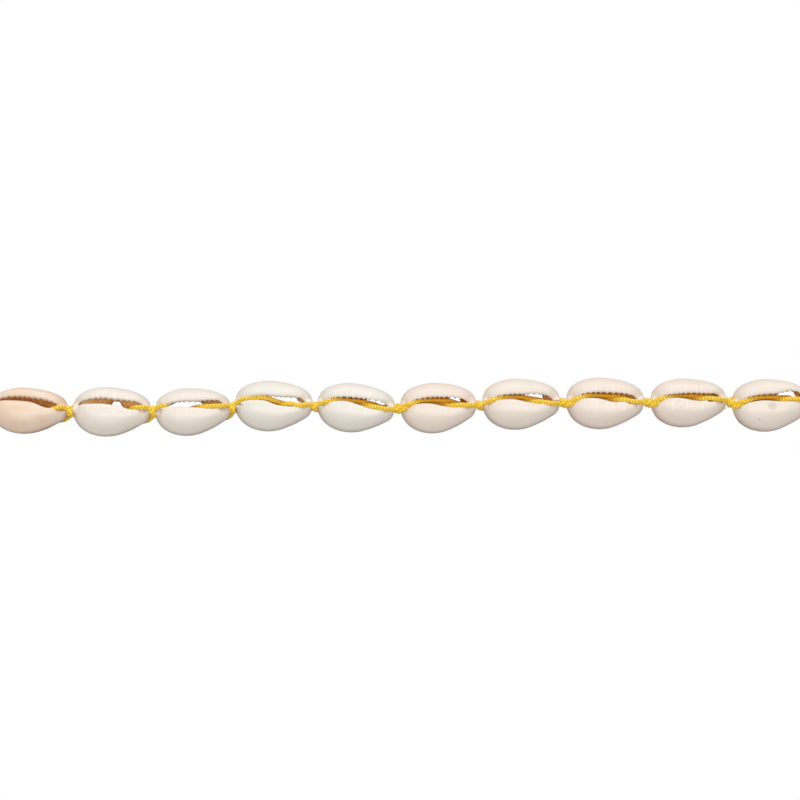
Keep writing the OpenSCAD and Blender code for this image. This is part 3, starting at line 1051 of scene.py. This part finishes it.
up = np.array([0, 0, 1])
for i in range(SHELL_N):
    knot = np.array([*knots[i], 0])
    ahead = np.array([*unit(unit(courses[i - 1]) + unit(courses[i])), 0])
    aside = np.cross(up, ahead)
    taller, hangs = TALL_KNOTS.get(i % len(LOOKS), (1, 0))
    for k, turn in enumerate(KNOT_TURNS):
        wobble = WOBBLE * math.sin(2.3 * i + 1.9 * k)
        lean = aside + (turn.lean + 2 * wobble) * ahead
        middle = knot + (turn.along + wobble) * ahead + (turn.across - hangs) * aside
        half_across = taller * turn.half_across * (1 + wobble)
        path = ring(middle + turn.height * up, half_across * lean, turn.half_up * up)
        add_turn(path, TURN_D, path - knot - turn.height * up)
    for loose in (row for row in LOOSE if row.knot == i):
        reach = loose.reach_along * ahead + loose.reach_across * aside
        middle = knot + loose.along * ahead + loose.across * aside + loose.height * up
        add_turn(ring(middle, reach, loose.round * np.cross(up, reach)), loose.d, up)
swells = np.concatenate(swells)
knots_piece = grid_mesh("knots", turns, {"swell": swells, "deep": np.zeros_like(swells)})
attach(knots_piece, "root")
print(SHELL_N, "knots,", 2 * len(knots_piece.data.polygons), "triangles")

# %% [markdown]
# ## Helpers for finishes
# Both finishes need soft uneven patches, so these are one node group, built once. It puts out a
# value from 0 to 1 that changes over the surface. The small functions only save typing.

# %% Small helpers for node trees


def new_material(name):
    """A material, its node tree and its main shader."""
    material = bpy.data.materials.new(name)
    material.use_nodes = True
    tree = material.node_tree
    return material, tree, tree.nodes["Principled BSDF"]


def set_inputs(node, values):
    """Gives inputs of a node their fixed values."""
    for name, value in values.items():
        node.inputs[name].default_value = value


def stored(tree, name, output="Fac"):
    """What was stored on the mesh's points under a name."""
    node = tree.nodes.new("ShaderNodeAttribute")
    node.attribute_name = name
    return node.outputs[output]


def mix_colour(tree, factor, a, b):
    """Mixes two colours or sockets, more of b the higher the factor is."""
    node = tree.nodes.new("ShaderNodeMix")
    node.data_type = "RGBA"
    tree.links.new(factor, node.inputs[0])
    for socket, value in ((node.inputs[6], a), (node.inputs[7], b)):
        if isinstance(value, bpy.types.NodeSocket):
            tree.links.new(value, socket)
        else:
            socket.default_value = (*value, 1)
    return node.outputs[2]


def ramp(tree, source, low, high, to_low=0.0, to_high=1.0):
    """A smooth step of a value."""
    node = tree.nodes.new("ShaderNodeMapRange")
    node.interpolation_type = "SMOOTHSTEP"
    tree.links.new(source, node.inputs["Value"])
    set_inputs(node, {"From Min": low, "From Max": high, "To Min": to_low, "To Max": to_high})
    return node.outputs["Result"]


def add_bump(tree, shader, height, strength, depth):
    """Makes a shader's surface a little uneven; the depth is in mm."""
    bump = tree.nodes.new("ShaderNodeBump")
    set_inputs(bump, {"Strength": strength, "Distance": depth * MM})
    tree.links.new(height, bump.inputs["Height"])
    tree.links.new(bump.outputs["Normal"], shader.inputs["Normal"])


print("helpers for", bpy.app.version_string, "are ready")

# %% A node group for soft patches
patches = bpy.data.node_groups.new("soft_patches", "ShaderNodeTree")
for socket, in_out in (("Scale", "INPUT"), ("Detail", "INPUT"), ("Patches", "OUTPUT")):
    patches.interface.new_socket(socket, in_out=in_out, socket_type="NodeSocketFloat")
group_in = patches.nodes.new("NodeGroupInput")
group_out = patches.nodes.new("NodeGroupOutput")
where = patches.nodes.new("ShaderNodeTexCoord")
noise = patches.nodes.new("ShaderNodeTexNoise")
patches.links.new(where.outputs["Object"], noise.inputs["Vector"])
patches.links.new(group_in.outputs["Scale"], noise.inputs["Scale"])
patches.links.new(group_in.outputs["Detail"], noise.inputs["Detail"])
spread = ramp(patches, noise.outputs["Fac"], 0.32, 0.68)
patches.links.new(spread, group_out.inputs["Patches"])


def soft_patches(tree, scale, detail=3.0):
    """Places the group in a material; a larger scale makes smaller patches."""
    node = tree.nodes.new("ShaderNodeGroup")
    node.node_tree = patches
    set_inputs(node, {"Scale": scale, "Detail": detail})
    return node.outputs["Patches"]


print("group:", patches.name)

# %% [markdown]
# ## Shell enamel
# A cowrie is glossy like porcelain: a pale enamel, a little warmer or cooler from shell to
# shell, whiter on the ribs, and amber-brown inside. Low on the flanks, and most on the inner
# lip's side, the enamel is painted darker and browner: painted shade. The tints, the painted
# shade and the masks are stored on the points, so one material serves all the shells and no two
# look the same. A little scattering under the surface and a thin clear coat make it porcelain.

# %% Colour of the enamel
CLOUD_WHITE = (0.84, 0.77, 0.70)
RIB_WHITE = (0.92, 0.89, 0.84)
# heights in mm where the painted shade on the flanks starts and where it is full
FLANK_SHADE_FROM = 4.3
FLANK_SHADE_FULL = 1.6

enamel, tree, shader = new_material("cowrie_enamel")
split = tree.nodes.new("ShaderNodeSeparateXYZ")
tree.links.new(tree.nodes.new("ShaderNodeTexCoord").outputs["Object"], split.inputs[0])
clouds = ramp(tree, soft_patches(tree, 160), 0, 1, 0, 0.35)
cloudy = mix_colour(tree, clouds, stored(tree, "crown_tint", "Color"), CLOUD_WHITE)
# painted shade: darker and browner low on the flanks, most on the inner lip's side
flank = tree.nodes.new("ShaderNodeMath")
flank.operation = "MULTIPLY"
tree.links.new(ramp(tree, split.outputs["Z"], FLANK_SHADE_FROM * MM, FLANK_SHADE_FULL * MM), flank.inputs[0])
tree.links.new(stored(tree, "shade"), flank.inputs[1])
shaded = mix_colour(tree, flank.outputs[0], cloudy, stored(tree, "flank_painted_shade", "Color"))
rib = ramp(tree, stored(tree, "rib"), 0.10, 0.9, 0, 0.50)
ribbed = mix_colour(tree, rib, shaded, RIB_WHITE)
print("colour nodes:", len(tree.nodes))

# %% A dull patch and two small pits
# on the last two shells of the row: place and size in mm, and colour
Mark = namedtuple("Mark", "x y size colour")
MARKS = [
    Mark(92.55, -58.87, 1.15, (0.60, 0.52, 0.43)),
    Mark(89.30, -62.15, 0.20, (0.16, 0.11, 0.08)),
    Mark(69.90, -59.12, 0.16, (0.22, 0.15, 0.10)),
]
from_above = tree.nodes.new("ShaderNodeCombineXYZ")
for axis in "XY":
    tree.links.new(split.outputs[axis], from_above.inputs[axis])
marked = ribbed
for mark in MARKS:
    apart = tree.nodes.new("ShaderNodeVectorMath")
    apart.operation = "DISTANCE"
    tree.links.new(from_above.outputs[0], apart.inputs[0])
    apart.inputs[1].default_value = (mark.x * MM, mark.y * MM, 0)
    inner, outer = 0.75 * mark.size * MM, 1.1 * mark.size * MM
    there = ramp(tree, apart.outputs["Value"], inner, outer, 0.6, 0)
    marked = mix_colour(tree, there, marked, mark.colour)
print(len(MARKS), "marks")

# %% Amber inside the shell
# each amber goes from its darker streaks to its lighter ones
DEEP_AMBER = [(0.42, 0.12, 0.012), (0.66, 0.24, 0.035)]
PALE_AMBER = [(0.95, 0.54, 0.18), (1.00, 0.70, 0.34)]
streaks = soft_patches(tree, 420, 5.0)
deep_amber = mix_colour(tree, streaks, *DEEP_AMBER)
pale_amber = mix_colour(tree, streaks, *PALE_AMBER)
amber = mix_colour(tree, stored(tree, "wall_pale"), deep_amber, pale_amber)
colour = mix_colour(tree, stored(tree, "inside"), marked, amber)
tree.links.new(colour, shader.inputs["Base Color"])
print("ambers:", DEEP_AMBER, PALE_AMBER)

# %% Gloss of the enamel
tree.links.new(ramp(tree, clouds, 0, 0.35, 0.36, 0.46), shader.inputs["Roughness"])
set_inputs(shader, {
    "IOR": 1.5,
    "Coat Weight": 0.20,
    "Coat Roughness": 0.28,
    "Subsurface Weight": 0.12,
    "Subsurface Radius": (1.0, 0.6, 0.4),
    "Subsurface Scale": 0.8 * MM,
})
add_bump(tree, shader, soft_patches(tree, 900), 0.15, 0.05)
for piece in shells:
    piece.data.materials.append(enamel)
print("enamel nodes:", len(tree.nodes))

# %% [markdown]
# ## Golden cord
# The cord is a shiny synthetic yarn. Light catches the tops of the stitches, and the creases are
# painted a deep orange-brown: painted shade. The plait's swell, stored on the points, drives both,
# and fine patches stand for the single filaments. Deep in a slot little light comes in, and there
# the yarn is painted browner: painted shade.

# %% Cord finish
YARN = [(0.95, 0.60, 0.030), (1.00, 0.80, 0.120)]
# painted shade: the yarn's colour deep in a slot, where little light comes in
YARN_IN_SLOT_SHADE = (0.70, 0.32, 0.008)
# painted shade in the plait's creases
CREASE_SHADE = (0.60, 0.24, 0.004)

golden, tree, shader = new_material("golden_cord")
filaments = soft_patches(tree, 2600, 2.0)
yarn = mix_colour(tree, filaments, *YARN)
# painted shade deep in a slot
yarn = mix_colour(tree, ramp(tree, stored(tree, "deep"), 0, 1, 0, 0.80), yarn, YARN_IN_SLOT_SHADE)
# painted shade in the creases, the yarn's colour on the stitches' tops
colour = mix_colour(tree, ramp(tree, stored(tree, "swell"), 0.30, 0.85), CREASE_SHADE, yarn)
tree.links.new(colour, shader.inputs["Base Color"])
set_inputs(shader, {
    "Roughness": 0.38,
    "Specular Tint": (1.0, 0.85, 0.40, 1),
    "Sheen Weight": 0.25,
    "Sheen Roughness": 0.4,
    "Sheen Tint": (1.0, 0.80, 0.35, 1),
})
add_bump(tree, shader, filaments, 0.4, 0.06)
for piece in strands + [knots_piece]:
    piece.data.materials.append(golden)
print("cord nodes:", len(tree.nodes))

# %% [markdown]
# ## Surface and light
# The picture's ground is bare white with no shadow. The floor shows the camera an even white
# through a Light Path node, and lights the shells as pale paper does. The main light is broad
# and overhead, a weaker one stands at the picture's top, and the sky is pale, so that the gloss
# stays soft and the flanks darken towards the surface.

# %% Floor
bpy.ops.mesh.primitive_plane_add(size=3, location=(0, 0, -0.02 * MM))
floor = bpy.context.object
floor.name = "floor"
paper, tree, shader = new_material("white_paper")
set_inputs(shader, {"Base Color": (0.62, 0.62, 0.62, 1), "Roughness": 0.9})
glow = tree.nodes.new("ShaderNodeEmission")
glow.inputs["Color"].default_value = (1, 1, 1, 1)
seen = tree.nodes.new("ShaderNodeLightPath")
mixed = tree.nodes.new("ShaderNodeMixShader")
for k, output in enumerate((seen.outputs["Is Camera Ray"], shader.outputs[0], glow.outputs[0])):
    tree.links.new(output, mixed.inputs[k])
tree.links.new(mixed.outputs[0], tree.nodes["Material Output"].inputs["Surface"])
floor.data.materials.append(paper)
print("floor at", round(floor.location.z / MM, 2), "mm")

# %% Lights and sky


def soft_light(name, place, size, power):
    """A broad light aimed at the row's middle."""
    data = bpy.data.lights.new(name, "AREA")
    data.shape = "RECTANGLE"
    data.size, data.size_y = size
    data.energy = power
    light = bpy.data.objects.new(name, data)
    light.location = place
    towards_light = Vector(place) - Vector((0, ROW_Y, 0))
    light.rotation_euler = towards_light.to_track_quat("Z", "Y").to_euler()
    bpy.context.scene.collection.objects.link(light)


soft_light("overhead", (0, -0.05, 1.0), (1.4, 0.5), 6.4)
soft_light("window", (0, 0.80, 0.55), (1.6, 0.35), 5.0)
world = bpy.data.worlds.new("sky")
world.use_nodes = True
sky = world.node_tree.nodes["Background"]
set_inputs(sky, {"Color": (1.0, 0.98, 0.95, 1), "Strength": 0.43})
bpy.context.scene.world = world
bpy.context.scene.view_settings.view_transform = "Standard"
